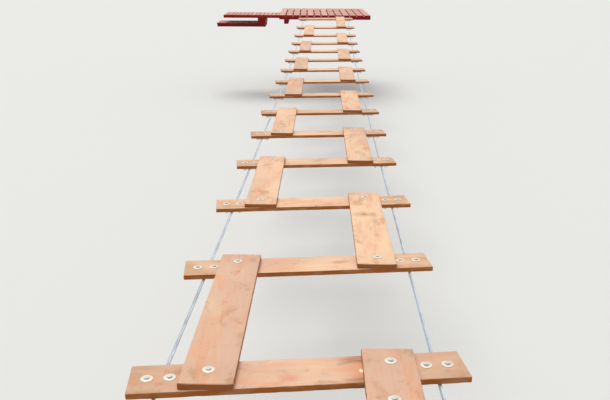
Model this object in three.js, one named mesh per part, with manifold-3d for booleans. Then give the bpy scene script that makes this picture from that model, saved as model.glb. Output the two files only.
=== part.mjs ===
// A plank footbridge on two steel cables, with a timber landing at each end.
// Millimetres. Y runs square to the landings from the near one to the far one, X to the right, Z up.
// The origin is on the outer face of the near landing's rear beam, in line with the first board's middle.

import * as THREE from 'three';
import { mergeVertices } from 'three/addons/utils/BufferGeometryUtils.js';
import Module from 'manifold-3d';

const wasm = await Module();
wasm.setup();

// Clearance between two pieces that touch.
const seat = 0.3;

// Walking boards. The step boards are a little wider than the cross boards.
const boardLength = 1000;
const boardWidth = 155;
const stepBoardWidth = 160;
const boardThickness = 20;
const slatThickness = 24;
const bayCount = 15;
const stepOffset = 271;

// The cables and the step boards lie askew to the cross boards, which are turned against the landings.
const skew = THREE.MathUtils.degToRad(7.55);
const stepSkew = THREE.MathUtils.degToRad(6.8);
const boardTurn = THREE.MathUtils.degToRad(5.8);

// A step board ends flush with the outer edges of the two cross boards that it spans.
const bay = boardLength - boardWidth;
const boardPitch = bay * Math.cos(skew);
const halfSpan = (bayCount * boardPitch) / 2;

// The cables sag towards midspan and climb to the far landing, which stands above its last board.
const midSag = 82;
const farRise = 143;
const farLandingLift = 24;

// Landings. They reach a little further to the left than to the right.
const landingLeft = -870;
const landingRight = 835;
const landingDepth = 2100;
const landingGap = 15;
const beamWidth = 100;
const beamHeight = 55;
const bearerSize = 80;
const bearerLeft = -740;
const bearerRight = 300;

// Wing of the far landing, a lighter deck level with it on the left. Two thin beams lie on one bearer.
const wingLeft = -1910;
const wingDepth = 750;
const wingBeamWidth = 100;
const wingBeamHeight = 30;
const wingBearerX = -1200;
const wingBearerWidth = 140;
const wingBearerHeight = 120;

// Side step below the wing, carried by two bearers under the wing's bearer.
const sideStepLeft = -2045;
const sideStepRight = wingBearerX - wingBearerWidth / 2 - 5;
const sideStepDepth = 600;
const sideStepSetback = 60;
const stepBearerWidth = 60;
const stepBearerHeight = 50;
const stepBearerInset = 90;

// Cables, with a stop at each end behind the landing's front beam.
const cableRadius = 6;
const cableOffset = 415;
const cableSides = 8;
const cableStep = 210;
const cableSeat = 0.5;
const cableHoleRadius = 8.2;
const stopRadius = 11;
const stopLength = 45;
const stopPlateSize = 34;
const stopPlateThickness = 8;

// A cable is made in lengths that follow its sag. All but the last end half a bay past these boards.
const cableCuts = [6, 11, 13];

// Clamps that hold each cross board on a cable: a plate below, and two bolts through the board.
const clampBoltSpacing = 66;
const boltRadius = 4;
const boltHoleRadius = 4.6;
const boltHeadAcrossFlats = 13;
const boltHeadHeight = 5.3;
const washerRadius = 18.5;
const washerThickness = 2;
const washerSides = 10;
const clampPlateLength = 100;
const clampPlateWidth = 40;
const clampPlateThickness = 6;

// Pieces that are fused overlap by this much before they are joined.
const weld = 0.6;

const timber = { color: 0xd08a5a, roughness: 0.7, metalness: 0 };
const redTimber = { color: 0x8c3026, roughness: 0.75, metalness: 0 };
const paleRedTimber = { color: 0xc98572, roughness: 0.75, metalness: 0 };
const galvanised = { color: 0xb4bcc4, roughness: 0.45, metalness: 0.9 };

const bridge = new THREE.Group();

function addMesh(name, geometry, finish) {
  const mesh = new THREE.Mesh(geometry, new THREE.MeshStandardMaterial(finish));
  mesh.name = name;
  bridge.add(mesh);
  return mesh;
}

// A box between two corners.
function boxBetween(low, high) {
  const size = high.map((value, axis) => value - low[axis]);
  const geometry = new THREE.BoxGeometry(...size);
  geometry.translate(...low.map((value, axis) => value + size[axis] / 2));
  return geometry;
}

// A prism with its axis on Z.
function prism(radius, sides, low, high) {
  const geometry = new THREE.CylinderGeometry(radius, radius, high - low, sides);
  geometry.rotateX(Math.PI / 2);
  geometry.translate(0, 0, (low + high) / 2);
  return geometry;
}

function toSolid(geometry) {
  const plain = geometry.clone();
  plain.deleteAttribute('normal');
  plain.deleteAttribute('uv');
  const merged = mergeVertices(plain, 1e-3);
  return new wasm.Manifold(new wasm.Mesh({
    numProp: 3,
    vertProperties: new Float32Array(merged.attributes.position.array),
    triVerts: new Uint32Array(merged.index.array),
  }));
}

function toGeometry(solid) {
  const mesh = solid.getMesh();
  const geometry = new THREE.BufferGeometry();
  geometry.setAttribute('position', new THREE.BufferAttribute(mesh.vertProperties, 3));
  geometry.setIndex(new THREE.BufferAttribute(mesh.triVerts, 1));
  geometry.computeVertexNormals();
  return geometry;
}

function joinSolids(solids) {
  return solids.reduce((whole, solid) => whole.add(solid));
}

function cutSolids(body, cutters) {
  return cutters.reduce((rest, cutter) => rest.subtract(cutter), body);
}

// Heights. The near landing's beams are centred on Z = 0, and its deck lies on them.
const beamTop = beamHeight / 2;
const firstBoardTop = beamTop + seat;
const cornerReach = (boardLength * Math.sin(boardTurn) + boardWidth * Math.cos(boardTurn)) / 2;
const firstBoardY = landingDepth + landingGap + cornerReach;
const cableDrift = Math.tan(skew - boardTurn);
const cableRun = bayCount * bay * Math.cos(skew - boardTurn);
const farLandingY = firstBoardY + cableRun + cornerReach + landingGap;
const farLandingX = (farLandingY - firstBoardY) * cableDrift;

// The boards and cables are worked out square to the boards, from the first board's middle. This
// matrix brings them into place between the landings.
const boardsInPlace = new THREE.Matrix4()
  .makeTranslation(0, firstBoardY, 0)
  .multiply(new THREE.Matrix4().makeRotationZ(boardTurn));

// The bridge's centre line drifts to the right of the first board's middle.
const centreX = (y) => y * Math.tan(skew);

// Position along the span: -1 at the first cross board, 0 at midspan, 1 at the last.
function spanPosition(y) {
  return y / halfSpan - 1;
}

// Top of the cross boards, and its slope. Past the first and last boards it runs on straight.
function deckHeight(y) {
  const k = THREE.MathUtils.clamp(spanPosition(y), -1, 1);
  const inside = firstBoardTop + midSag * (k * k - 1) + farRise * Math.max(k, 0) ** 4;
  return inside + (spanPosition(y) - k) * halfSpan * deckSlope(y);
}

function deckSlope(y) {
  const k = THREE.MathUtils.clamp(spanPosition(y), -1, 1);
  return (2 * midSag * k + 4 * farRise * Math.max(k, 0) ** 3) / halfSpan;
}

// The frame of a cross board: its origin is the middle of the board's top face.
function boardFrame(index) {
  const y = index * boardPitch;
  const turn = new THREE.Matrix4().makeRotationX(Math.atan(deckSlope(y)));
  return new THREE.Matrix4().makeTranslation(centreX(y), y, deckHeight(y)).multiply(turn);
}

const clampSides = [-1, 1];
const clampX = (side, end) => side * cableOffset + (end * clampBoltSpacing) / 2;

// Cross boards lie on both cables, with four bolt holes.
function makeCrossBoard() {
  const board = boxBetween(
    [-boardLength / 2, -boardWidth / 2, -boardThickness],
    [boardLength / 2, boardWidth / 2, 0],
  );
  const holes = clampSides.flatMap((side) => clampSides.map((end) => {
    const hole = prism(boltHoleRadius, 6, -boardThickness - 5, 5);
    hole.translate(clampX(side, end), 0, 0);
    return toSolid(hole);
  }));
  return toGeometry(cutSolids(toSolid(board), holes));
}

const crossBoardGeometry = makeCrossBoard();
for (let index = 0; index <= bayCount; index += 1) {
  const name = `cross_board_${String(index).padStart(2, '0')}`;
  const mesh = addMesh(name, crossBoardGeometry, timber);
  mesh.applyMatrix4(boardFrame(index).premultiply(boardsInPlace));
}

// Step boards lie on the cross boards, on the right and on the left of the cables' middle in turn.
const stepBoardGeometry = boxBetween(
  [-stepBoardWidth / 2, -boardLength / 2, seat],
  [stepBoardWidth / 2, boardLength / 2, seat + boardThickness],
);
for (let index = 0; index < bayCount; index += 1) {
  const nearEdge = new THREE.Vector3(0, -boardWidth / 2, 0).applyMatrix4(boardFrame(index));
  const farEdge = new THREE.Vector3(0, boardWidth / 2, 0).applyMatrix4(boardFrame(index + 1));
  const along = farEdge.clone().sub(nearEdge);
  const middle = nearEdge.clone().add(farEdge).multiplyScalar(0.5);
  const side = index % 2 === 0 ? 1 : -1;
  const name = `step_board_${String(index).padStart(2, '0')}`;
  const mesh = addMesh(name, stepBoardGeometry, timber);
  const x = centreX(middle.y) + (side * stepOffset) / Math.cos(skew);
  mesh.position.set(x, middle.y, middle.z);
  mesh.rotation.set(Math.atan2(along.z, along.y), 0, -stepSkew);
  mesh.updateMatrix();
  mesh.applyMatrix4(boardsInPlace);
}

// A cable's centre line, below the cross boards and on through both front beams.
const cableDrop = boardThickness + cableSeat + cableRadius;
const cableEndReach = beamWidth + stopPlateThickness + stopLength - 8;

function cablePoint(side, y, target = new THREE.Vector3()) {
  const height = deckHeight(y) - cableDrop * Math.hypot(1, deckSlope(y));
  return target.set(side * cableOffset + centreX(y), y, height);
}

// The cable's own Y where it meets a plane between the landings, square to their Y.
function cableYAt(side, planeY) {
  const start = firstBoardY + side * cableOffset * Math.sin(boardTurn);
  return (planeY - start) / (Math.cos(boardTurn) + Math.tan(skew) * Math.sin(boardTurn));
}

class CablePath extends THREE.Curve {
  constructor(side, low, high) {
    super();
    this.side = side;
    this.low = low;
    this.high = high;
  }

  getPoint(t, target) {
    return cablePoint(this.side, THREE.MathUtils.lerp(this.low, this.high, t), target);
  }
}

// Turns a prism's axis into the cable's direction at y, with its middle on the cable.
function alongCable(geometry, side, y) {
  const direction = new THREE.Vector3(Math.tan(skew), 1, deckSlope(y)).normalize();
  const turn = new THREE.Quaternion().setFromUnitVectors(new THREE.Vector3(0, 0, 1), direction);
  geometry.applyQuaternion(turn);
  return geometry.translate(...cablePoint(side, y));
}

// The section has flats above and below, one cable radius from the centre.
function cableSection() {
  const corner = cableRadius / Math.cos(Math.PI / cableSides);
  const section = new THREE.Shape();
  for (let index = 0; index < cableSides; index += 1) {
    const angle = ((index + 0.5) * 2 * Math.PI) / cableSides;
    const point = [corner * Math.cos(angle), corner * Math.sin(angle)];
    if (index === 0) section.moveTo(...point);
    else section.lineTo(...point);
  }
  section.closePath();
  return section;
}

// One bolt of a clamp in a board's frame: shank, washer and head.
const clampTop = -boardThickness - cableSeat - 2 * cableRadius;

function clampBolt(x) {
  const shank = prism(boltRadius, 6, clampTop - weld, seat + washerThickness + weld);
  const washer = prism(washerRadius, washerSides, seat, seat + washerThickness);
  const headRadius = boltHeadAcrossFlats / Math.sqrt(3);
  const headLow = seat + washerThickness;
  const head = prism(headRadius, 6, headLow - weld, headLow + boltHeadHeight);
  return [shank, washer, head].map((geometry) => toSolid(geometry.translate(x, 0, 0)));
}

function makeClamp(side, index) {
  const plate = boxBetween(
    [side * cableOffset - clampPlateLength / 2, -clampPlateWidth / 2, clampTop - clampPlateThickness],
    [side * cableOffset + clampPlateLength / 2, clampPlateWidth / 2, clampTop + weld],
  );
  const bolts = clampSides.flatMap((end) => clampBolt(clampX(side, end)));
  const clamp = joinSolids([toSolid(plate), ...bolts]);
  return clamp.transform(boardFrame(index).toArray());
}

// The stop behind a front beam: a plate flat on the beam and a swaged sleeve on the cable.
function makeCableStop(side, end) {
  const frontFace = end < 0 ? landingDepth : farLandingY;
  const plateNear = frontFace + end * (beamWidth + seat);
  const plateFar = plateNear + end * stopPlateThickness;
  const centre = cablePoint(side, cableYAt(side, plateNear)).applyMatrix4(boardsInPlace);
  const half = stopPlateSize / 2;
  const plate = boxBetween(
    [centre.x - half, Math.min(plateNear, plateFar), centre.z - half],
    [centre.x + half, Math.max(plateNear, plateFar), centre.z + half],
  );
  const sleeve = prism(stopRadius, 10, -stopLength / 2, stopLength / 2);
  const sleeveY = cableYAt(side, plateFar + end * (stopLength / 2 - weld - 3));
  alongCable(sleeve, side, sleeveY).applyMatrix4(boardsInPlace);
  return [toSolid(plate), toSolid(sleeve)];
}

// Where the cable is cut, half a bay past a board.
const cutAfter = (board) => (board + 0.5) * boardPitch;

// One length of a cable with the clamps of its boards, and with the stop if it ends at a landing.
function makeCableLength(side, part) {
  const isFirst = part === 0;
  const isLast = part === cableCuts.length;
  const firstBoard = isFirst ? 0 : cableCuts[part - 1] + 1;
  const lastBoard = isLast ? bayCount : cableCuts[part];
  const nearEnd = cableYAt(side, landingDepth - cableEndReach);
  const farEnd = cableYAt(side, farLandingY + cableEndReach);
  const low = isFirst ? nearEnd : cutAfter(firstBoard - 1) + seat / 2;
  const high = isLast ? farEnd : cutAfter(lastBoard) - seat / 2;
  const rope = new THREE.ExtrudeGeometry(cableSection(), {
    steps: Math.round((high - low) / cableStep),
    bevelEnabled: false,
    extrudePath: new CablePath(side, low, high),
  });
  const pieces = [toSolid(rope)];
  for (let board = firstBoard; board <= lastBoard; board += 1) pieces.push(makeClamp(side, board));
  const solids = pieces.map((piece) => piece.transform(boardsInPlace.toArray()));
  if (isFirst) solids.push(...makeCableStop(side, -1));
  if (isLast) solids.push(...makeCableStop(side, 1));
  return toGeometry(joinSolids(solids));
}

for (const [name, side] of [['cable_left', -1], ['cable_right', 1]]) {
  for (let part = 0; part <= cableCuts.length; part += 1) {
    addMesh(`${name}_${part + 1}`, makeCableLength(side, part), galvanised);
  }
}

// The cables' way through a front beam, along their own direction there.
function cableHole(side, frontFace, end) {
  const hole = prism(cableHoleRadius, 12, -beamWidth, beamWidth);
  alongCable(hole, side, cableYAt(side, frontFace + (end * beamWidth) / 2));
  return toSolid(hole.applyMatrix4(boardsInPlace));
}

// A landing: three cross beams, the deck on them and two bearers below. Its middle is at the given X.
function addLanding(prefix, middleX, frontFace, end, level) {
  const left = middleX + landingLeft;
  const right = middleX + landingRight;
  const yAt = (depth) => frontFace + end * depth;
  const spanY = (from, to) => [Math.min(yAt(from), yAt(to)), Math.max(yAt(from), yAt(to))];

  function addBeam(name, depth, holes) {
    const [yLow, yHigh] = spanY(depth, depth + beamWidth);
    const beam = boxBetween(
      [left, yLow, level - beamHeight / 2],
      [right, yHigh, level + beamHeight / 2],
    );
    const geometry = holes.length ? toGeometry(cutSolids(toSolid(beam), holes)) : beam;
    addMesh(`${prefix}_${name}`, geometry, redTimber);
  }

  const holes = clampSides.map((side) => cableHole(side, frontFace, end));
  addBeam('front_beam', 0, holes);
  addBeam('middle_beam', (landingDepth - beamWidth) / 2, []);
  addBeam('rear_beam', landingDepth - beamWidth, []);

  const [deckNear, deckFar] = spanY(0, landingDepth);
  const deckLow = level + beamHeight / 2 + seat;
  const deck = boxBetween(
    [left, deckNear, deckLow],
    [right, deckFar, deckLow + slatThickness],
  );
  addMesh(`${prefix}_deck`, deck, paleRedTimber);

  const bearerTop = level - beamHeight / 2 - seat;
  for (const [name, offset] of [['left', bearerLeft], ['right', bearerRight]]) {
    const x = middleX + offset;
    const bearer = boxBetween(
      [x - bearerSize / 2, deckNear, bearerTop - bearerSize],
      [x + bearerSize / 2, deckFar, bearerTop],
    );
    addMesh(`${prefix}_bearer_${name}`, bearer, redTimber);
  }
  return deckLow;
}

addLanding('near', 0, landingDepth, -1, 0);
const farDeckLow = addLanding('far', farLandingX, farLandingY, 1, farRise + farLandingLift);

// The wing butts against the far landing's left side.
function addWing() {
  const left = farLandingX + wingLeft;
  const right = farLandingX + landingLeft - seat;
  const bearerX = farLandingX + wingBearerX;
  const wingFar = farLandingY + wingDepth;
  const deck = boxBetween(
    [left, farLandingY, farDeckLow],
    [right, wingFar, farDeckLow + slatThickness],
  );
  addMesh('wing_deck', deck, paleRedTimber);

  const wingBeamTop = farDeckLow - seat;
  for (const [name, y] of [['front', farLandingY], ['rear', wingFar - wingBeamWidth]]) {
    const beam = boxBetween(
      [left, y, wingBeamTop - wingBeamHeight],
      [right, y + wingBeamWidth, wingBeamTop],
    );
    addMesh(`wing_${name}_beam`, beam, redTimber);
  }

  const bearerTop = wingBeamTop - wingBeamHeight - seat;
  const bearer = boxBetween(
    [bearerX - wingBearerWidth / 2, farLandingY, bearerTop - wingBearerHeight],
    [bearerX + wingBearerWidth / 2, wingFar, bearerTop],
  );
  addMesh('wing_bearer', bearer, redTimber);
  return bearerTop - wingBearerHeight;
}

const wingBearerBottom = addWing();

// The side step lies beside the wing's bearer, on two bearers below it.
function addSideStep() {
  const left = farLandingX + sideStepLeft;
  const stepNear = farLandingY + sideStepSetback;
  const stepFar = stepNear + sideStepDepth;
  const stepBearerTop = wingBearerBottom - seat;
  const tread = boxBetween(
    [left, stepNear, stepBearerTop + seat],
    [farLandingX + sideStepRight, stepFar, stepBearerTop + seat + slatThickness],
  );
  addMesh('side_step_deck', tread, paleRedTimber);
  const bearerY = [
    ['front', stepNear + stepBearerInset],
    ['rear', stepFar - stepBearerInset],
  ];
  for (const [name, y] of bearerY) {
    const bearer = boxBetween(
      [left, y - stepBearerWidth / 2, stepBearerTop - stepBearerHeight],
      [farLandingX + wingBearerX + wingBearerWidth / 2, y + stepBearerWidth / 2, stepBearerTop],
    );
    addMesh(`side_step_bearer_${name}`, bearer, redTimber);
  }
}

addSideStep();

export default bridge;
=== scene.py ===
"""The finish of a plank footbridge on two wire ropes: boards, ropes, clamps and slatted landings.

Metres, in the frame's own axes: Y square to the landings, from the near one to the far one, Z up.
"""

import math
from typing import NamedTuple

import bpy
import numpy as np
from mathutils import Matrix, Vector


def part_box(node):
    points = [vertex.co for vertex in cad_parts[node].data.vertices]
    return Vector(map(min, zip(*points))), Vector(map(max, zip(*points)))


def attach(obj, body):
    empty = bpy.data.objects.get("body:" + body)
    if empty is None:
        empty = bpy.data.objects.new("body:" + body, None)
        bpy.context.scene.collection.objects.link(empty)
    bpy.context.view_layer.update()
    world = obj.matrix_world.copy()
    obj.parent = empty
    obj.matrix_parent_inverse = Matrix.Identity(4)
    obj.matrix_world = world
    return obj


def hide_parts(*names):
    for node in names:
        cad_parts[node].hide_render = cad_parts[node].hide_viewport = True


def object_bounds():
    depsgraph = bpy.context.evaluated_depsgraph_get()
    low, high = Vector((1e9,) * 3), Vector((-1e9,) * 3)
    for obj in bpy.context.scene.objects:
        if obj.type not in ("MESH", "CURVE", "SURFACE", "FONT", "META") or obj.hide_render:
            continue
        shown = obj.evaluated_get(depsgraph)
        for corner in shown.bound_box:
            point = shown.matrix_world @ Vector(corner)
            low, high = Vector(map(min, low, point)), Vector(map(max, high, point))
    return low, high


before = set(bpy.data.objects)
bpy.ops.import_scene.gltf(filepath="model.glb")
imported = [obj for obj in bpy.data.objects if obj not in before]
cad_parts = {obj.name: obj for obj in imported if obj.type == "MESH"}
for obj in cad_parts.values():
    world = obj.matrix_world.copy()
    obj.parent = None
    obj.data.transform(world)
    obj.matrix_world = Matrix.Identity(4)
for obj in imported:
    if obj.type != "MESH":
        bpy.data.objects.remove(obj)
cad_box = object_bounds()

# Boards. The seat is the gap between a board and what it lies on.
BOARD_THICKNESS = 0.020
SEAT = 0.0003
ARRIS_RADIUS = 0.0026
END_INSET = ARRIS_RADIUS * 0.8
STATION_STEP = 0.02
STEP_BOLT_INSET = 0.0775
EXTRA_BOLT_INSET = 0.285

# Bruises on a board's arrises and its slight warp: waves in radians a metre, depths in metres
BRUISE_WAVES = (31, 73, 127)
BRUISE_WAVE_ACROSS = 60
BRUISE_START = 0.6
BRUISE_PEAK = 3
BRUISE_DEPTH = 0.0005
BRUISE_WIDTH = 0.05
BRUISE_LIMIT = 0.0016
WARP_WAVE = 5
WARP_HEIGHT = 0.0004

# What is drawn at random for each board: its stretch of the grain, the place of its pith, and its tone
GRAIN_SHIFT = 40
PITH_ASIDE = (-0.05, 0.05)
PITH_BELOW = (0.03, 0.09)
BOARD_TONE = (0.2, 0.8)
CROSS_BOARD_SEED = 2223
STEP_BOARD_SEED = 12678
TIMBER_SEED = 500

# Dirt on the boards' ends. It starts and fades in at shares of the way from a board's middle to its end.
CROSS_BOARD_SOIL = 0.75
USUAL_SOIL = 0.2
SOIL_START = 0.6
SOIL_FADE = 0.3

# Wire rope
ROPE_RADIUS = 0.006
ROPE_STRANDS = 6
SIDES_PER_STRAND = 5
ROPE_LAY = 0.078
ROPE_STEP = 0.006
ROPE_GAP = 0.0005
ROPE_DROP = BOARD_THICKNESS + ROPE_GAP + ROPE_RADIUS
ROPE_OFFSET = 0.415

# Clamps and bolts
CLAMP_BOLT_SPACING = 0.066
BOLT_RADIUS = 0.004
BOLT_TIP = 0.005
BOLT_SEAT = 0.0001
SHANK_RADIUS = BOLT_RADIUS * 0.98
SHANK_LAP = 0.001
THREAD_PITCH = 0.00125
THREAD_ROOT = BOLT_RADIUS * 0.88
THREAD_CHAMFER = 0.0008
WASHER_RADIUS = 0.0185
WASHER_HOLE = 0.0046
WASHER_THICKNESS = 0.002
WASHER_EASE = 0.0007
HEXAGON_FLATS = 0.013
HEXAGON_CHAMFER = math.radians(30)
HEAD_HEIGHT = 0.0053
NUT_HEIGHT = 0.0065
CLAMP_PLATE = (0.1, 0.04, 0.006)
STOP_PLATE = (0.034, 0.034, 0.008)
PLATE_CORNER = 0.004
PLATE_EASE = 0.0008
STOP_RADIUS = 0.011
STOP_START = 0.004
STOP_END = 0.0505

# How many sides the round bodies have
SHANK_SIDES = 16
THREAD_SIDES = 20
WASHER_SIDES = 32
HEXAGON_SIDES = 36
STOP_SIDES = 28
SCREW_SIDES = 12

# Landings
SLAT_PITCH = 0.131
SLAT_GAP = 0.019
WING_SLAT_PITCH = 0.076
WING_SLAT_GAP = 0.009
STEP_SLAT_PITCH = 0.062
SLAT_SHORTFALL = 0.004
SLAT_STATION_STEP = 0.06
TIMBER_STATION_STEP = 0.04
TIMBER_DENTS = 1.6
SCREW_RADIUS = 0.0042
SCREW_ASIDE = 0.28
SCREW_SCATTER = 0.012

# The camera, from the photograph's view
CAMERA_PLACE = (0.0398, 1.2189, 1.1604)
CAMERA_YAW = -0.0013
CAMERA_PITCH = 0.3192
CAMERA_ROLL = 0.0056
CAMERA_LENS = 42.491
CAMERA_CLIP_END = 1000
SENSOR_WIDTH = 36.0

# Floor and light
FLOOR_DROP = 1.15
FLOOR_REACH = 160.0
SKY_COLOUR = (0.93, 0.96, 1.0, 1.0)
SKY_STRENGTH = 0.75
SUN_COLOUR = (1.0, 0.97, 0.92)
SUN_STRENGTH = 2.1
SUN_WIDTH = math.radians(42)
SUN_AIM = (0.22, -0.42, -1.0)

# Single marks on the boards, in metres from the middle of the top face. A tear is a knot that broke out.
NO_MARK = (9.0, 9.0, 0.0)
MARKS = {
    "knot": {"step_board_02": (0.13, 0.02, 0.0)},
    "tear": {"cross_board_01": (0.181, -0.012, 0.0)},
    "smear": {"cross_board_01": (-0.033, -0.034, 0.0)},
}

# Each mark's shape: how its axes are weighed along the board and across it, and how uneven its edge is
KNOT_SPOT = ((1.0, 0.6, 0.0), 0.016)
TEAR_SPOT = ((0.9, 0.5, 0.0), 0.04)
TEAR_STREAKS = ((0.3, 1.0, 0.0), 0.03)
TEAR_HEART = ((1.0, 0.6, 0.0), 0.0)
SMEAR_SPOT = ((0.7, 1.0, 0.0), 0.04)


class Pattern(NamedTuple):
    """A noise in the wood: how fast it changes along the board and across it, and its character."""

    along: float
    across: float
    scale: float = 1.0
    detail: float = 3.0
    roughness: float = 0.55
    distortion: float = 0.0


PATTERNS = {
    "wander": Pattern(9.0, 22.0),
    "drift": Pattern(1.2, 3.0, scale=1.6),
    "fibre": Pattern(6.0, 260.0, detail=4.0, roughness=0.7),
    "zones": Pattern(1.7, 4.5, scale=1.5, detail=2.0),
    "streaks": Pattern(2.6, 13.0, scale=1.6, detail=4.0, roughness=0.6, distortion=0.5),
    "grime": Pattern(3.0, 14.0, scale=1.7),
    "rubbing": Pattern(9.0, 30.0, scale=1.3),
    "smudges": Pattern(4.0, 7.0, scale=1.9, detail=5.0, roughness=0.6, distortion=0.3),
    "scuffs": Pattern(26.0, 20.0, scale=1.5, distortion=0.5),
    "checks": Pattern(3.0, 120.0, detail=2.0),
}

# Knots and growth rings
KNOT_CELLS = 4.2
KNOT_STRETCH = (1.0, 1.6, 0.2)
KNOT_WANDER = 0.12
PITH_SLANT = 0.02
DRIFT_ACROSS = 0.045
DRIFT_BELOW = 0.03
KNOT_PUSH = 0.009
RINGS_A_METRE = 190.0

# How strongly each layer of the wood covers what lies under it, from 0 to 1
STREAK_SHARE = 0.56
GRIME_SHARE = 0.45
END_GRAIN_SHARE = 0.85
LATE_WOOD_SHARE = 0.14
FIBRE_SHARE = 0.1
RUBBED_SHARE = 0.4
KNOT_SHARE = 0.6
SMEAR_SHARE = 0.6

# Metal: the zinc's spangle and clouds, and the waves of the rope's single wires
SPANGLE_CELLS = 420.0
ZINC_CLOUDS = 60.0
ROPE_CLOUDS = 9.0
CLOUD_DETAIL = 4.0
WIRE_WAVE_ALONG = 520.0
WIRE_WAVE_AROUND = 6.0
ZINC_METALLIC = 0.4
ROPE_METALLIC = 0.35

# The least roughness of each material
WOOD_ROUGHNESS = 0.46
ZINC_ROUGHNESS = 0.3
ROPE_ROUGHNESS = 0.32
FLOOR_ROUGHNESS = 0.9

CROSS_BOARDS = sorted(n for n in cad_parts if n.startswith("cross_board"))
STEP_BOARDS = sorted(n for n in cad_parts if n.startswith("step_board"))


# Camera


def make_camera():
    yaw, pitch, roll = CAMERA_YAW, CAMERA_PITCH, CAMERA_ROLL
    level = math.cos(pitch)
    forward = Vector((math.sin(yaw) * level, math.cos(yaw) * level, -math.sin(pitch)))
    level_right = Vector((math.cos(yaw), -math.sin(yaw), 0))
    level_up = level_right.cross(forward)
    right = level_right * math.cos(roll) + level_up * math.sin(roll)
    up = level_up * math.cos(roll) - level_right * math.sin(roll)
    data = bpy.data.cameras.new("camera")
    data.lens = CAMERA_LENS
    data.sensor_width = SENSOR_WIDTH
    data.clip_end = CAMERA_CLIP_END
    camera = bpy.data.objects.new("camera", data)
    turn = Matrix((right, up, -forward)).transposed().to_4x4()
    camera.matrix_world = Matrix.Translation(CAMERA_PLACE) @ turn
    bpy.context.scene.collection.objects.link(camera)
    bpy.context.scene.camera = camera


make_camera()


# Materials


class Nodes:
    """A material's node tree, with short calls for the nodes that are used here."""

    def __init__(self, name):
        self.material = bpy.data.materials.new(name)
        self.material.use_nodes = True
        self.tree = self.material.node_tree
        self.shader = self.tree.nodes["Principled BSDF"]

    def plug(self, value, socket):
        if isinstance(value, bpy.types.NodeSocket):
            self.tree.links.new(value, socket)
        else:
            socket.default_value = value

    def math(self, operation, a, b=0.0, clamp=False):
        node = self.tree.nodes.new("ShaderNodeMath")
        node.operation = operation
        node.use_clamp = clamp
        self.plug(a, node.inputs[0])
        self.plug(b, node.inputs[1])
        return node.outputs[0]

    def plus(self, a, b, clamp=False):
        return self.math("ADD", a, b, clamp)

    def times(self, a, b):
        return self.math("MULTIPLY", a, b)

    def larger(self, a, b):
        return self.math("MAXIMUM", a, b)

    def attribute(self, name, output="Fac"):
        node = self.tree.nodes.new("ShaderNodeAttribute")
        node.attribute_name = name
        return node.outputs[output]

    def split(self, vector):
        node = self.tree.nodes.new("ShaderNodeSeparateXYZ")
        self.plug(vector, node.inputs[0])
        return node.outputs[0], node.outputs[1], node.outputs[2]

    def length(self, vector):
        node = self.tree.nodes.new("ShaderNodeVectorMath")
        node.operation = "LENGTH"
        self.plug(vector, node.inputs[0])
        return node.outputs["Value"]

    def scaled(self, vector, scale):
        node = self.tree.nodes.new("ShaderNodeMapping")
        self.plug(vector, node.inputs["Vector"])
        node.inputs["Scale"].default_value = scale
        return node.outputs[0]

    def noise(self, vector, scale, detail, roughness=0.6, distortion=0.0):
        node = self.tree.nodes.new("ShaderNodeTexNoise")
        self.plug(vector, node.inputs["Vector"])
        node.inputs["Scale"].default_value = scale
        node.inputs["Detail"].default_value = detail
        node.inputs["Roughness"].default_value = roughness
        node.inputs["Distortion"].default_value = distortion
        return node.outputs["Fac"]

    def cells(self, vector, scale):
        """Distance to the nearest cell's centre, and a random number of that cell's own."""
        node = self.tree.nodes.new("ShaderNodeTexVoronoi")
        self.plug(vector, node.inputs["Vector"])
        node.inputs["Scale"].default_value = scale
        return node.outputs["Distance"], self.split(node.outputs["Color"])[0]

    def ramp(self, value, low, high, start=0.0, end=1.0):
        """Smooth step from start to end as value goes from low to high."""
        node = self.tree.nodes.new("ShaderNodeMapRange")
        node.interpolation_type = "SMOOTHSTEP"
        self.plug(value, node.inputs["Value"])
        node.inputs["From Min"].default_value = low
        node.inputs["From Max"].default_value = high
        node.inputs["To Min"].default_value = start
        node.inputs["To Max"].default_value = end
        return node.outputs[0]

    def mix(self, factor, a, b, blend="MIX"):
        """Two colours mixed. Inputs 6 and 7 and output 2 are the mix node's sockets for colours."""
        node = self.tree.nodes.new("ShaderNodeMix")
        node.data_type = "RGBA"
        node.blend_type = blend
        self.plug(factor, node.inputs[0])
        self.plug(a, node.inputs[6])
        self.plug(b, node.inputs[7])
        return node.outputs[2]

    def cover(self, under, over, mask, share=1.0):
        """One colour laid over another where the mask is, by share at most."""
        return self.mix(self.times(mask, share), under, over)

    def bump(self, height, strength, distance, normal=None):
        node = self.tree.nodes.new("ShaderNodeBump")
        self.plug(height, node.inputs["Height"])
        node.inputs["Strength"].default_value = strength
        node.inputs["Distance"].default_value = distance
        if normal is not None:
            self.plug(normal, node.inputs["Normal"])
        return node.outputs[0]

    def up_facing(self):
        """The surface normal's upward part, from -1 to 1."""
        node = self.tree.nodes.new("ShaderNodeNewGeometry")
        return self.split(node.outputs["Normal"])[2]


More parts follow.
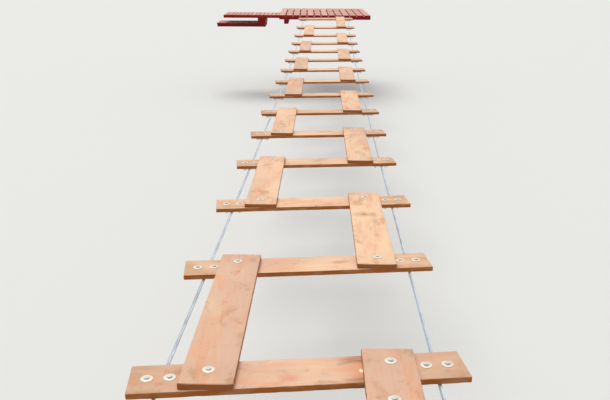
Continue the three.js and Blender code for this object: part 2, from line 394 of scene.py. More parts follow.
class Wood(Nodes):
    """Sawn softwood. Its patterns follow the grain, which runs along each board."""

    def __init__(self, name):
        super().__init__(name)
        self.grain = self.attribute("grain", "Vector")
        self.wander = self.pattern("wander")
        self.fibre = self.pattern("fibre")

    def pattern(self, name):
        kind = PATTERNS[name]
        place = self.scaled(self.grain, (kind.along, kind.across, kind.across))
        return self.noise(place, kind.scale, kind.detail, kind.roughness, kind.distortion)

    def spot(self, name, scale, unevenness):
        """Distance to a board's single mark, with an uneven outline."""
        distance = self.length(self.scaled(self.attribute(name, "Vector"), scale))
        return self.plus(distance, self.times(self.wander, unevenness))

    def knots(self):
        """Knots in some cells of a coarse pattern: their cores, and the blurred halos round them.

        The ramps' distances are shares of a cell.
        """
        distance, chance = self.cells(self.scaled(self.grain, KNOT_STRETCH), KNOT_CELLS)
        distance = self.plus(distance, self.times(self.wander, KNOT_WANDER))
        here = self.ramp(chance, 0.55, 0.6)
        core = self.times(self.ramp(distance, 0.095, 0.075), here)
        halo = self.times(self.ramp(distance, 0.24, 0.07), here)
        return core, halo

    def late_wood(self, knot_halo):
        """The dark side of the growth rings. Their pith runs below the board and slightly across it."""
        x, y, z = self.split(self.grain)
        drift = self.pattern("drift")
        across = self.plus(y, self.times(x, PITH_SLANT))
        across = self.plus(across, self.times(drift, DRIFT_ACROSS))
        below = self.plus(z, self.times(drift, DRIFT_BELOW))
        square = self.plus(self.math("POWER", across, 2.0), self.math("POWER", below, 2.0))
        radius = self.plus(self.math("SQRT", square), self.times(knot_halo, KNOT_PUSH))
        ring = self.math("FRACT", self.times(radius, RINGS_A_METRE))
        return self.times(self.ramp(ring, 0.25, 0.85), self.ramp(ring, 1.0, 0.93))

    def smudges(self, knot_halo):
        """The marks of boots and splashes, the dark round knots, and the dirt on a board's ends."""
        broad = self.pattern("smudges")
        scuffs = self.ramp(self.pattern("scuffs"), 0.58, 0.74)
        smudge = self.plus(self.times(self.ramp(broad, 0.53, 0.68), 0.8), self.times(knot_halo, 0.8))
        smudge = self.plus(smudge, self.times(scuffs, self.ramp(broad, 0.42, 0.56, 0.25, 0.9)))
        soil = self.times(self.attribute("soil"), self.ramp(broad, 0.3, 0.6, 0.5, 1.2))
        return self.plus(smudge, soil, clamp=True)


def colour(red, green, blue):
    """A colour for a node socket, from 0-255 screen values."""
    screen = [channel / 255 for channel in (red, green, blue)]
    linear = [c / 12.92 if c <= 0.04045 else ((c + 0.055) / 1.055) ** 2.4 for c in screen]
    return (*linear, 1.0)


def make_wood(name, tops, side, end_grain, knot, dust, dust_share, shine):
    """Wood under a stain. tops are three colours of the upper faces: dull, bright and deep. side is the
    colour of the other faces, darker than the tops partly by thicker stain and partly by painted shade.
    """
    n = Wood(name)
    dull, bright, deep = tops
    cap = n.attribute("cap")
    # on_top tells the upper faces from the rest: it sets where the painted shade of the sides begins,
    # and it keeps the dirt on the tops.
    on_top = n.ramp(n.up_facing(), 0.35, 0.8)
    knot_core, knot_halo = n.knots()

    # Single marks on some boards: a large knot, a knot that broke out, and a red smear. The ramps'
    # distances are in metres.
    single = n.spot("knot", *KNOT_SPOT)
    knot_core = n.larger(knot_core, n.ramp(single, 0.019, 0.013))
    knot_halo = n.larger(knot_halo, n.ramp(single, 0.06, 0.015))
    tear = n.spot("tear", *TEAR_SPOT)
    knot_halo = n.larger(knot_halo, n.ramp(tear, 0.09, 0.03, 0.0, 0.6))
    tear_streaks = n.ramp(n.spot("tear", *TEAR_STREAKS), 0.05, 0.065)
    tear_streaks = n.times(tear_streaks, n.ramp(tear, 0.088, 0.05))
    tear_heart = n.ramp(n.spot("tear", *TEAR_HEART), 0.007, 0.004)
    smear = n.ramp(n.spot("smear", *SMEAR_SPOT), 0.055, 0.02)

    # Stain that soaked in unevenly: dull and bright zones, and deeper streaks.
    zone = n.plus(n.pattern("zones"), n.attribute("tone"))
    top = n.mix(n.ramp(zone, 0.7, 1.3), dull, bright)
    top = n.cover(top, deep, n.ramp(n.pattern("streaks"), 0.46, 0.72), STREAK_SHARE)
    # The side faces get a darker colour than the upper faces: painted shade on faces turned from the
    # sky, along with thicker stain.
    shaded_flank = n.cover(side, end_grain, n.ramp(n.pattern("grime"), 0.4, 0.7), GRIME_SHARE)
    shaded_flank = n.cover(shaded_flank, end_grain, cap, END_GRAIN_SHARE)
    body = n.mix(on_top, shaded_flank, top)

    # Growth rings and fibres show through the stain.
    late_wood = n.late_wood(knot_halo)
    body = n.cover(body, n.mix(1.0, body, deep, "MULTIPLY"), late_wood, LATE_WOOD_SHARE)
    body = n.cover(body, side, n.ramp(n.fibre, 0.45, 0.7), FIBRE_SHARE)

    # Rubbed arrises, dirt on the upper faces only, then the knots and the single marks.
    bare = n.times(n.attribute("arris"), n.math("SUBTRACT", 1.0, cap))
    rubbed = n.times(bare, n.ramp(n.pattern("rubbing"), 0.45, 0.65))
    body = n.cover(body, dull, rubbed, RUBBED_SHARE)
    smudge = n.smudges(knot_halo)
    body = n.cover(body, dust, n.times(smudge, on_top), dust_share)
    body = n.cover(body, knot, knot_core, KNOT_SHARE)
    body = n.cover(body, deep, n.ramp(tear, 0.065, 0.03, 0.0, 0.65))
    body = n.cover(body, knot, n.times(tear_streaks, n.ramp(n.fibre, 0.4, 0.6, 0.15, 0.75)))
    body = n.cover(body, TORN_WOOD, tear_heart)
    body = n.cover(body, SMEAR_RED, smear, SMEAR_SHARE)
    n.plug(body, n.shader.inputs["Base Color"])

    roughness = n.plus(n.times(n.fibre, 0.2), n.times(smudge, 0.1))
    n.plug(n.plus(roughness, WOOD_ROUGHNESS), n.shader.inputs["Roughness"])
    n.shader.inputs["Specular IOR Level"].default_value = shine
    fibres = n.bump(n.fibre, 0.3, 0.0006)
    rings = n.bump(late_wood, 0.15, 0.0004, fibres)
    checks = n.ramp(n.pattern("checks"), 0.7, 0.76)
    n.plug(n.bump(n.math("SUBTRACT", 1.0, checks), 0.35, 0.001, rings), n.shader.inputs["Normal"])
    return n.material


def make_galvanised(name, base, dull):
    """Zinc on steel, with a faint spangle, duller patches and painted shade in its corners and recesses.
    """
    n = Nodes(name)
    place = n.attribute("grain", "Vector")
    spangle = n.cells(place, SPANGLE_CELLS)[1]
    cloud = n.noise(place, ZINC_CLOUDS, CLOUD_DETAIL)
    tone = n.cover(base, dull, n.ramp(cloud, 0.35, 0.7), 0.6)
    tone = n.cover(tone, dull, spangle, 0.12)
    # Painted shade: darker where the groove value marks corners, recesses and the feet of heads and
    # nuts.
    tone = n.cover(tone, CORNER_SHADE, n.attribute("groove"), 0.8)
    n.plug(tone, n.shader.inputs["Base Color"])
    n.shader.inputs["Metallic"].default_value = ZINC_METALLIC
    roughness = n.plus(n.times(cloud, 0.2), n.times(spangle, 0.08))
    n.plug(n.plus(roughness, ZINC_ROUGHNESS), n.shader.inputs["Roughness"])
    n.plug(n.bump(cloud, 0.15, 0.0004), n.shader.inputs["Normal"])
    return n.material


def make_rope_steel():
    """The rope's strands, with the twist of their single wires in the relief."""
    n = Nodes("rope_steel")
    cloud = n.noise(n.attribute("grain", "Vector"), ROPE_CLOUDS, CLOUD_DETAIL)
    tone = n.mix(n.ramp(cloud, 0.35, 0.7), ROPE_BRIGHT, ROPE_DULL)
    # Painted shade in the valleys between the strands.
    tone = n.cover(tone, ROPE_GROOVE_SHADE, n.attribute("groove"), 0.5)
    n.plug(tone, n.shader.inputs["Base Color"])
    n.shader.inputs["Metallic"].default_value = ROPE_METALLIC
    n.plug(n.plus(n.times(cloud, 0.25), ROPE_ROUGHNESS), n.shader.inputs["Roughness"])
    along = n.times(n.attribute("along"), WIRE_WAVE_ALONG)
    around = n.times(n.attribute("around"), WIRE_WAVE_AROUND)
    wires = n.math("SINE", n.plus(along, around))
    n.plug(n.bump(wires, 0.5, 0.0003), n.shader.inputs["Normal"])
    return n.material


BOARD_TOPS = (colour(206, 169, 144), colour(230, 194, 159), colour(217, 148, 108))
SLAT_TOPS = (colour(198, 142, 126), colour(214, 166, 150), colour(184, 100, 82))
RED_TOPS = (colour(160, 66, 50), colour(176, 84, 62), colour(132, 36, 28))
TORN_WOOD = colour(252, 236, 214)
SMEAR_RED = colour(206, 116, 112)
# The dark colour of the painted shade in the corners and recesses of zinc parts.
CORNER_SHADE = colour(58, 56, 52)
ROPE_BRIGHT = colour(206, 214, 224)
ROPE_DULL = colour(176, 186, 198)
# The dark colour of the painted shade between the rope's strands.
ROPE_GROOVE_SHADE = colour(96, 98, 100)
FLOOR_GREY = colour(206, 206, 203)

# Each side colour is darker than its tops partly by painted shade and partly by thicker stain.
stained_board = make_wood(
    "stained_board",
    tops=BOARD_TOPS,
    side=colour(162, 94, 30),
    end_grain=colour(156, 88, 40),
    knot=colour(112, 74, 42),
    dust=colour(160, 118, 82),
    dust_share=0.52,
    shine=0.2,
)
deck_slat = make_wood(
    "deck_slat",
    tops=SLAT_TOPS,
    side=colour(126, 30, 24),
    end_grain=colour(140, 22, 20),
    knot=colour(104, 52, 40),
    dust=colour(170, 140, 122),
    dust_share=0.35,
    shine=0.2,
)
red_timber = make_wood(
    "red_timber",
    tops=RED_TOPS,
    side=colour(138, 22, 20),
    end_grain=colour(118, 20, 16),
    knot=colour(66, 22, 18),
    dust=colour(144, 96, 82),
    dust_share=0.25,
    shine=0.12,
)
zinc = make_galvanised("zinc", base=colour(234, 227, 214), dull=colour(206, 201, 192))
rope_steel = make_rope_steel()


# Meshes


class Shape:
    """Vertices, faces and named values per vertex, gathered before one mesh is made from them."""

    def __init__(self):
        self.points = []
        self.faces = []
        self.values = {}
        self.count = 0

    def add(self, points, faces, **values):
        points = np.asarray(points, float)
        self.points.append(points)
        self.faces.extend([[index + self.count for index in face] for face in faces])
        self.count += len(points)
        for name, value in values.items():
            self.values.setdefault(name, []).append(np.asarray(value, float))

    def mesh(self, name, material, smooth_angle=40.0):
        data = bpy.data.meshes.new(name)
        data.from_pydata(np.concatenate(self.points).tolist(), [], self.faces)
        for key, parts in self.values.items():
            whole = np.concatenate(parts)
            kind, field = ("FLOAT_VECTOR", "vector") if whole.ndim == 2 else ("FLOAT", "value")
            attribute = data.attributes.new(key, kind, "POINT")
            attribute.data.foreach_set(field, whole.astype(np.float32).ravel())
        data.materials.append(material)
        piece = bpy.data.objects.new(name, data)
        bpy.context.scene.collection.objects.link(piece)
        data.shade_smooth()
        data.set_sharp_from_angle(angle=math.radians(smooth_angle))
        return piece


def place_piece(piece, nodes):
    """Say which body a piece rides on and which nodes it replaces."""
    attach(piece, "root")
    if nodes:
        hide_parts(*nodes)


def moved(points, matrix):
    turn = np.array(matrix.to_3x3())
    return np.asarray(points, float) @ turn.T + np.array(matrix.translation)


def loft_faces(rings, sides):
    """Faces between rings of points that follow one another, with the two ends closed."""
    faces = []
    for ring in range(rings - 1):
        for side in range(sides):
            after = (side + 1) % sides
            low, high = ring * sides, (ring + 1) * sides
            faces.append([low + side, low + after, high + after, high + side])
    faces.append(list(range(sides))[::-1])
    faces.append([(rings - 1) * sides + side for side in range(sides)])
    return faces


def board_section(width, thickness, radius, spans):
    """A board's outline in Y and Z, with rounded arrises, and how far each point is on an arris."""
    half = width / 2
    outline, arris = [], []
    corners = (
        (half - radius, -radius, 0),
        (-half + radius, -radius, 90),
        (-half + radius, -thickness + radius, 180),
        (half - radius, -thickness + radius, 270),
    )
    for index, (y, z, start) in enumerate(corners):
        for turn in (0, 45, 90):
            angle = math.radians(start + turn)
            outline.append((y + radius * math.cos(angle), z + radius * math.sin(angle)))
            arris.append(1.0 if turn == 45 else 0.5)
        if index % 2 == 0:
            inner = half - radius
            sign, level = (1, 0.0) if index == 0 else (-1, -thickness)
            for step in range(1, spans):
                outline.append((sign * inner * (1 - 2 * step / spans), level))
                arris.append(0.0)
    return np.array(outline), np.array(arris)


def add_board(shape, length, width, thickness, matrix, rng, spans=6, step=STATION_STEP, dents=1.0,
              soil=USUAL_SOIL, node=""):
    """One sawn board: X along it, its top face at Z = 0, with eased and slightly bruised arrises.

    soil is the dirt on its ends, and the node's name says which single marks it bears. Three phases and
    two shifts are drawn and not used, because every later draw depends on them.
    """
    section, arris = board_section(width, thickness, ARRIS_RADIUS, spans)
    count = max(4, round(length / step))
    stations = np.linspace(-length / 2, length / 2, count + 1)
    first, last = stations[0], stations[-1]
    stations = np.concatenate([[first, first + END_INSET], stations[1:-1], [last - END_INSET, last]])
    phases = rng.uniform(0, 2 * math.pi, 8)
    rings, worn, caps = [], [], []
    centre = np.array([0.0, -thickness / 2])
    for index, place in enumerate(stations):
        at_end = index in (0, len(stations) - 1)
        wave = sum(np.sin(place * rate + phase) for rate, phase in zip(BRUISE_WAVES, phases))
        wave = wave + np.sin(section[:, 0] * BRUISE_WAVE_ACROSS + phases[3])
        bruise = np.clip(wave - BRUISE_START, 0, BRUISE_PEAK) * BRUISE_DEPTH * dents
        pull = (centre - section) * (arris * bruise / BRUISE_WIDTH)[:, None]
        ring = section + np.clip(pull, -BRUISE_LIMIT, BRUISE_LIMIT)
        if at_end:
            reach = np.abs(ring - centre)
            ring = centre + np.sign(ring - centre) * np.maximum(reach - END_INSET, 0)
        rings.append(np.column_stack([np.full(len(ring), place), ring]))
        worn.append(np.where(at_end, 1.0, arris))
        caps.append(np.full(len(ring), 1.0 if at_end else 0.0))
    points = np.concatenate(rings)
    points[:, 2] += WARP_HEIGHT * np.sin(points[:, 0] * WARP_WAVE + phases[4])
    grain_shift = rng.uniform(-GRAIN_SHIFT, GRAIN_SHIFT, 3) * np.array([1.0, 0.0, 0.0])
    pith = np.array([0.0, rng.uniform(*PITH_ASIDE), rng.uniform(*PITH_BELOW)])
    outward = np.abs(points[:, 0]) / (length / 2)
    shape.add(
        moved(points, matrix),
        loft_faces(len(stations), len(section)),
        grain=points + grain_shift + pith,
        arris=np.concatenate(worn),
        cap=np.concatenate(caps),
        tone=np.full(len(points), rng.uniform(*BOARD_TONE)),
        soil=soil * np.clip((outward - SOIL_START) / SOIL_FADE, 0, 1),
        **{kind: points - np.array(boards.get(node, NO_MARK)) for kind, boards in MARKS.items()},
    )


def add_ring_stack(shape, loops, sides, matrix):
    """A round or many-sided body round Z. Each loop is its radius, its height and its painted shade, the
    darkening of recesses and contact corners.

    The radius and the height may be functions of the angle.
    """
    angles = np.arange(sides) * 2 * math.pi / sides
    rings, groove = [], []
    for radius, height, recess_shade in loops:
        reach = radius(angles) if callable(radius) else np.full(sides, radius)
        level = height(angles) if callable(height) else np.full(sides, height)
        rings.append(np.column_stack([reach * np.cos(angles), reach * np.sin(angles), level]))
        groove.append(np.full(sides, recess_shade, float))
    place = moved(np.concatenate(rings), matrix)
    shape.add(place, loft_faces(len(loops), sides), grain=place, groove=np.concatenate(groove))


def hexagon(flats):
    """The radius of a hexagon by angle, from its width across flats."""
    sector = math.pi / 3
    return lambda angles: flats / 2 / np.cos((angles + sector / 2) % sector - sector / 2)


def add_washer(shape, matrix, low):
    """A washer with softly rounded edges, its underside at height low."""
    outer, ease, top = WASHER_RADIUS, WASHER_EASE, low + WASHER_THICKNESS
    # The third value of each loop is painted shade, under the washer's rim and at its hole.
    loops = [
        (WASHER_HOLE, low + 0.0002, 0.6),
        (outer - ease, low, 0.4),
        (outer, low + ease, 0.1),
        (outer, top - ease * 1.6, 0),
        (outer - ease, top - ease * 0.5, 0),
        (outer - 3 * ease, top, 0),
        (WASHER_HOLE, top, 0.5),
    ]
    add_ring_stack(shape, loops, WASHER_SIDES, matrix)


def add_hexagon(shape, matrix, low, height):
    """A nut or a bolt's head with chamfered corners, its underside at height low."""
    across = hexagon(HEXAGON_FLATS)
    flat = HEXAGON_FLATS / 2 * 0.95
    slope = math.tan(HEXAGON_CHAMFER)
    top = low + height
    # The third value of each loop is painted shade, at the foot of the hexagon and round the bolt.
    loops = [
        (flat, low, 0.3),
        (across, lambda angles: low + (across(angles) - flat) * slope, 0.1),
        (across, lambda angles: top - (across(angles) - flat) * slope, 0),
        (flat, top, 0),
        (BOLT_RADIUS * 1.08, top, 0.15),
        (BOLT_RADIUS, top - 0.0005, 0.35),
    ]
    add_ring_stack(shape, loops, HEXAGON_SIDES, matrix)


def add_threaded_end(shape, matrix, low, high):
    """The end of a bolt, with thread ridges and a chamfer."""
    # The third value of each loop is painted shade, darkest in the thread roots.
    loops = [(BOLT_RADIUS * 0.9, low, 0.5)]
    level = low
    while level + THREAD_PITCH < high - THREAD_CHAMFER:
        loops.append((THREAD_ROOT, level + THREAD_PITCH * 0.1, 0.7))
        loops.append((BOLT_RADIUS, level + THREAD_PITCH * 0.6, 0))
        level += THREAD_PITCH
    loops.append((BOLT_RADIUS * 0.96, high - THREAD_CHAMFER, 0))
    loops.append((BOLT_RADIUS * 0.78, high, 0))
    add_ring_stack(shape, loops, THREAD_SIDES, matrix)


def add_plate(shape, matrix, size, low):
    """A flat bar with rounded corners and eased edges."""
    length, width, thick = size
    corner, ease = PLATE_CORNER, PLATE_EASE
    outline = []
    for x, y, start in ((1, 1, 0), (-1, 1, 90), (-1, -1, 180), (1, -1, 270)):
        for turn in (0, 30, 60, 90):
            angle = math.radians(start + turn)
            outline.append((
                x * (length / 2 - corner) + corner * math.cos(angle),
                y * (width / 2 - corner) + corner * math.sin(angle),
            ))
    outline = np.array(outline)
    rings = []
    for inset, level in ((ease, low), (0, low + ease), (0, low + thick - ease), (ease, low + thick)):
        shrink = 1 - inset / (min(length, width) / 2)
        rings.append(np.column_stack([outline * shrink, np.full(len(outline), level)]))
    place = moved(np.concatenate(rings), matrix)
    shape.add(place, loft_faces(len(rings), len(outline)), grain=place, groove=np.zeros(len(place)))


# Boards


def board_place(node):
    """A board's place and size: X along it, Z up, and the origin in the middle of its top face."""
    corners = np.array([v.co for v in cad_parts[node].data.vertices])
    corners = np.unique(corners.round(6), axis=0)
    middle = (corners.min(0) + corners.max(0)) / 2
    axes = np.linalg.svd(corners - middle)[2]
    along = axes[0] * np.sign(axes[0][:2].sum())
    up = axes[2] * np.sign(axes[2][2])
    across = np.cross(up, along)
    size = [np.ptp(corners @ axis) for axis in (along, across, up)]
    turn = Matrix(np.array([along, across, up]).T.tolist()).to_4x4()
    place = Matrix.Translation(middle.tolist()) @ turn @ Matrix.Translation((0, 0, size[2] / 2))
    return place, size


ALONG_Y = Matrix.Rotation(math.pi / 2, 4, "Z")
UPSIDE_DOWN = Matrix.Rotation(math.pi, 4, "X")
cross_places = [board_place(node)[0] for node in CROSS_BOARDS]
step_places = [board_place(node)[0] for node in STEP_BOARDS]


def make_boards(nodes, seed, soil):
    for index, node in enumerate(nodes):
        place, size = board_place(node)
        shape = Shape()
        add_board(shape, *size, place, np.random.default_rng(seed + index), soil=soil, node=node)
        place_piece(shape.mesh("stained_" + node, stained_board), [node])


# Ropes, clamps and bolts


def rope_nodes(side):
    start = "cable_left" if side < 0 else "cable_right"
    return sorted(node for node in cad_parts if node.startswith(start))


def rope_points(side):
    """The rope's centre line: a smooth curve under the boards, straight past the first and the last."""
    nodes = rope_nodes(side)
    low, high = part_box(nodes[0])[0].y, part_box(nodes[-1])[1].y
    crossings = [place @ Vector((side * ROPE_OFFSET, 0, -ROPE_DROP)) for place in cross_places]
    drift = (crossings[-1].x - crossings[0].x) / (crossings[-1].y - crossings[0].y)
    slopes = []
    for place in cross_places:
        x, y, z = place.to_3x3() @ Vector((0, 1, 0))
        slopes.append(z * (x * drift + y) / (x * x + y * y))
    slopes = np.array(slopes)
    ys = np.array([crossing.y for crossing in crossings])
    zs = np.array([crossing.z for crossing in crossings])
    y = np.arange(low, high, ROPE_STEP)
    bay = np.clip(np.searchsorted(ys, y) - 1, 0, len(ys) - 2)
    width = ys[bay + 1] - ys[bay]
    t = np.clip((y - ys[bay]) / width, 0, 1)
    height = (2 * t**3 - 3 * t**2 + 1) * zs[bay] + (t**3 - 2 * t**2 + t) * width * slopes[bay]
    height += (-2 * t**3 + 3 * t**2) * zs[bay + 1] + (t**3 - t**2) * width * slopes[bay + 1]
    height += np.minimum(y - ys[0], 0) * slopes[0] + np.maximum(y - ys[-1], 0) * slopes[-1]
    return np.column_stack([crossings[0].x + (y - ys[0]) * drift, y, height])


def add_rope(shape, side):
    """Six strands laid round each other, as one lobed section that turns along the rope."""
    path = rope_points(side)
    sides = ROPE_STRANDS * SIDES_PER_STRAND
    strand = ROPE_RADIUS / 3
    phase = np.arange(sides) * 2 * math.pi / sides
    lobe = (phase % (2 * math.pi / ROPE_STRANDS)) - math.pi / ROPE_STRANDS
    bulge = np.sqrt(np.maximum(strand**2 - (2 * strand * np.sin(lobe)) ** 2, 0))
    reach = 2 * strand * np.cos(lobe) + bulge
    # depth marks the valleys between the strands, where the painted shade goes.
    depth = 1 - (reach - reach.min()) / (reach.max() - reach.min())
    travel = np.concatenate([[0], np.cumsum(np.linalg.norm(np.diff(path, axis=0), axis=1))])
    heading = np.gradient(path, axis=0)
    heading /= np.linalg.norm(heading, axis=1)[:, None]
    across = np.cross(heading, [0, 0, 1])
    across /= np.linalg.norm(across, axis=1)[:, None]
    upward = np.cross(across, heading)
    twist = travel * 2 * math.pi / ROPE_LAY
    angle = phase[None, :] + twist[:, None]
    points = path[:, None, :] + np.cos(angle)[:, :, None] * reach[None, :, None] * across[:, None, :]
    points = points + np.sin(angle)[:, :, None] * reach[None, :, None] * upward[:, None, :]
    flat = points.reshape(-1, 3)
    shape.add(
        flat,
        loft_faces(len(path), sides),
        grain=flat,
        groove=np.tile(depth, len(path)),
        along=np.repeat(travel, sides),
        around=np.tile(phase, len(path)),
    )


def add_clamp(shape, place, side):
    """Two bolts through a cross board, and the plate that they pull up against the rope."""
    plate_top = -BOARD_THICKNESS - ROPE_GAP - 2 * ROPE_RADIUS
    plate_low = plate_top - CLAMP_PLATE[2]
    centre = place @ Matrix.Translation((side * ROPE_OFFSET, 0, 0))
    add_plate(shape, centre, CLAMP_PLATE, plate_low)
    for end in (-1, 1):
        any_turn = 0.7 * end + place.translation.y * 2.3
        at = centre @ Matrix.Translation((end * CLAMP_BOLT_SPACING / 2, 0, 0))
        at = at @ Matrix.Rotation(any_turn, 4, "Z")
        add_washer(shape, at, SEAT)
        add_hexagon(shape, at, SEAT + WASHER_THICKNESS, HEAD_HEIGHT)
        shank = [(SHANK_RADIUS, plate_top - SHANK_LAP, 0), (SHANK_RADIUS, SEAT + SHANK_LAP, 0)]
        add_ring_stack(shape, shank, SHANK_SIDES, at)
        below = at @ Matrix.Translation((0, 0, plate_low)) @ UPSIDE_DOWN
        add_hexagon(shape, below, BOLT_SEAT, NUT_HEIGHT)
        add_threaded_end(shape, below, NUT_HEIGHT - SHANK_LAP, NUT_HEIGHT + BOLT_TIP)


def add_stop(shape, side, end):
    """The plate and swaged sleeve that hold a rope's end behind a front beam."""
    node = "near_front_beam" if end < 0 else "far_front_beam"
    low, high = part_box(node)
    face = low.y if end < 0 else high.y
    path = rope_points(side)
    middle = [np.interp(face + end * SEAT, path[:, 1], path[:, axis]) for axis in range(3)]
    heading = Vector(path[-1] - path[-2] if end > 0 else path[0] - path[1])
    centre = Matrix.Translation(middle)
    outward = Matrix.Rotation(-end * math.pi / 2, 4, "X")
    add_plate(shape, centre @ outward, STOP_PLATE, 0.0)
    sleeve = centre @ heading.to_track_quat("Z", "X").to_matrix().to_4x4()
    # The third value of each loop is painted shade, where the sleeve meets the rope.
    loops = [
        (ROPE_RADIUS, STOP_START, 0.6),
        (STOP_RADIUS * 0.93, 0.006, 0.2),
        (STOP_RADIUS, 0.009, 0),
        (STOP_RADIUS, 0.046, 0),
        (STOP_RADIUS * 0.9, 0.05, 0.1),
        (ROPE_RADIUS * 0.9, STOP_END, 0.5),
    ]
    add_ring_stack(shape, loops, STOP_SIDES, sleeve)


def make_ropes():
    for side, name in ((-1, "left"), (1, "right")):
        nodes = rope_nodes(side)
        rope = Shape()
        add_rope(rope, side)
        place_piece(rope.mesh("wire_rope_" + name, rope_steel, 80.0), nodes)
        fittings = Shape()
        for place in cross_places:
            add_clamp(fittings, place, side)
        for end in (-1, 1):
            add_stop(fittings, side, end)
        place_piece(fittings.mesh("clamps_" + name, zinc, 30.0), nodes)


def add_step_bolt(shape, place, under):
    """A hexagon bolt through boards that are under thick in all: washers, a head and a nut."""
    add_washer(shape, place, BOLT_SEAT)
    add_hexagon(shape, place, WASHER_THICKNESS, HEAD_HEIGHT)
    below = place @ Matrix.Translation((0, 0, -under)) @ UPSIDE_DOWN
    add_washer(shape, below, BOLT_SEAT)
    add_hexagon(shape, below, WASHER_THICKNESS, NUT_HEIGHT)
    nut_end = WASHER_THICKNESS + NUT_HEIGHT
    add_threaded_end(shape, below, nut_end - SHANK_LAP, nut_end + BOLT_TIP)


def make_step_bolts():
    """A bolt near each end of each step board, slightly off its middle, and one more in the first."""
    shape = Shape()
    half = board_place(STEP_BOARDS[0])[1][0] / 2
    both_boards = 2 * BOARD_THICKNESS + 2 * SEAT
    for index, place in enumerate(step_places):
        for end in (-1, 1):
            aside = 0.007 * math.sin(index * 2.3 - end * 0.7)
            any_turn = index * 0.9 + end
            at = place @ Matrix.Translation((end * (half - STEP_BOLT_INSET), aside, 0))
            add_step_bolt(shape, at @ Matrix.Rotation(any_turn, 4, "Z"), both_boards)
    extra = step_places[0] @ Matrix.Translation((half - EXTRA_BOLT_INSET, 0.004, 0))
    add_step_bolt(shape, extra, BOARD_THICKNESS)
    place_piece(shape.mesh("step_board_bolts", zinc, 30.0), [])


# Landings

BEAMS = ("front_beam", "middle_beam", "rear_beam")
WING_BEAMS = ("wing_front_beam", "wing_rear_beam")
SIDE_STEP_BEARERS = ("side_step_bearer_front", "side_step_bearer_rear")
BEARERS = ("bearer_left", "bearer_right")
TIMBERS = [f"{end}_{name}" for end in ("near", "far") for name in (*BEAMS, *BEARERS)]
TIMBERS += [*WING_BEAMS, "wing_bearer", *SIDE_STEP_BEARERS]

# Each deck's beams, the pitch and the gap of its slats, and its seed
DECKS = {
    "near": ([f"near_{beam}" for beam in BEAMS], SLAT_PITCH, SLAT_GAP, 700),
    "far": ([f"far_{beam}" for beam in BEAMS], SLAT_PITCH, SLAT_GAP, 750),
    "wing": (WING_BEAMS, WING_SLAT_PITCH, WING_SLAT_GAP, 800),
    "side_step": (SIDE_STEP_BEARERS, STEP_SLAT_PITCH, WING_SLAT_GAP, 900),
}


def slat_rows(low, high, pitch, gap):
    """The middle and width of each slat. The outer slats are flush with the deck's two edges."""
    count = max(1, round((high - low + gap) / pitch))
    exact = (high - low + gap) / count
    return [(low + exact * (index + 0.5) - gap / 2, exact - gap) for index in range(count)]


def add_screw(shape, at):
    """A countersunk screw head with a shallow recess, just proud of the wood."""
    # The third value of each loop is painted shade, darkest in the recess.
    loops = [
        (SCREW_RADIUS, -0.001, 0.3),
        (SCREW_RADIUS, 0.0002, 0.2),
        (SCREW_RADIUS * 0.85, 0.0004, 0.1),
        (SCREW_RADIUS * 0.4, 0.0003, 0.3),
        (SCREW_RADIUS * 0.3, -0.0006, 1.0),
    ]
    add_ring_stack(shape, loops, SCREW_SIDES, at)


def make_deck(name, beams, pitch, gap, seed):
    """Slats side by side on their beams, a pair of screws at each crossing."""
    low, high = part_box(name + "_deck")
    middle = (low.y + high.y) / 2
    slats, screws = Shape(), Shape()
    for index, (x, width) in enumerate(slat_rows(low.x, high.x, pitch, gap)):
        rng = np.random.default_rng(seed + index)
        place = Matrix.Translation((x, middle, high.z)) @ ALONG_Y
        length = high.y - low.y - rng.uniform(0, SLAT_SHORTFALL)
        add_board(slats, length, width, high.z - low.z, place, rng, spans=3, step=SLAT_STATION_STEP)
        for beam in beams:
            beam_low, beam_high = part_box(beam)
            beam_y = (beam_low.y + beam_high.y) / 2
            for side in (-SCREW_ASIDE, SCREW_ASIDE):
                y = beam_y + rng.uniform(-SCREW_SCATTER, SCREW_SCATTER)
                add_screw(screws, Matrix.Translation((x + side * width, y, high.z)))
    place_piece(slats.mesh(name + "_slats", deck_slat), [name + "_deck"])
    place_piece(screws.mesh(name + "_screws", zinc), [])


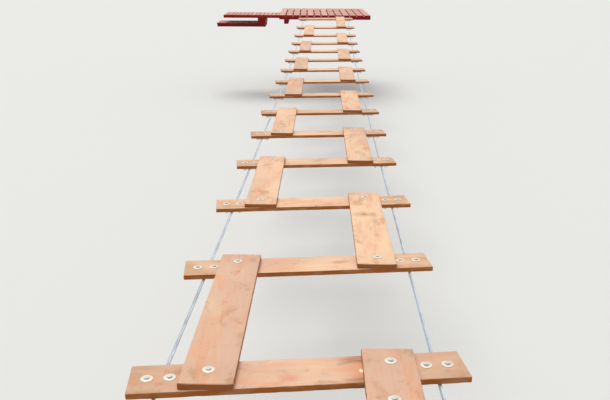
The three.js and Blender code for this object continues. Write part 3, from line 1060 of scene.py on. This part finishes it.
def make_timber(node, seed):
    """A landing timber, replacing the plain solid at its place. The grain follows its longest side."""
    low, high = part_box(node)
    size = high - low
    centre = (low + high) / 2
    place = Matrix.Translation((centre.x, centre.y, high.z))
    length, width = size.x, size.y
    if width > length:
        place = place @ ALONG_Y
        length, width = width, length
    shape = Shape()
    add_board(
        shape, length, width, size.z, place, np.random.default_rng(seed),
        spans=4, step=TIMBER_STATION_STEP, dents=TIMBER_DENTS,
    )
    place_piece(shape.mesh("stained_" + node, red_timber), [node])


# Floor and light


def make_floor():
    n = Nodes("floor")
    n.shader.inputs["Base Color"].default_value = FLOOR_GREY
    n.shader.inputs["Roughness"].default_value = FLOOR_ROUGHNESS
    data = bpy.data.meshes.new("floor")
    level = cad_box[0].z - FLOOR_DROP
    signs = ((-1, -1), (1, -1), (1, 1), (-1, 1))
    data.from_pydata([(x * FLOOR_REACH, y * FLOOR_REACH, level) for x, y in signs], [], [(0, 1, 2, 3)])
    data.materials.append(n.material)
    floor = bpy.data.objects.new("floor", data)
    bpy.context.scene.collection.objects.link(floor)


def make_light():
    world = bpy.data.worlds.new("world")
    world.use_nodes = True
    background = world.node_tree.nodes["Background"]
    background.inputs["Color"].default_value = SKY_COLOUR
    background.inputs["Strength"].default_value = SKY_STRENGTH
    bpy.context.scene.world = world
    sun = bpy.data.lights.new("sun", "SUN")
    sun.energy = SUN_STRENGTH
    sun.angle = SUN_WIDTH
    sun.color = SUN_COLOUR
    lamp = bpy.data.objects.new("sun", sun)
    lamp.rotation_euler = Vector(SUN_AIM).to_track_quat("-Z", "Y").to_euler()
    bpy.context.scene.collection.objects.link(lamp)
    bpy.context.scene.view_settings.view_transform = "Standard"


make_boards(CROSS_BOARDS, CROSS_BOARD_SEED, CROSS_BOARD_SOIL)
make_boards(STEP_BOARDS, STEP_BOARD_SEED, USUAL_SOIL)
make_ropes()
make_step_bolts()
for deck, (beams, pitch, gap, seed) in DECKS.items():
    make_deck(deck, beams, pitch, gap, seed)
for index, node in enumerate(TIMBERS):
    make_timber(node, TIMBER_SEED + index)
make_floor()
make_light()
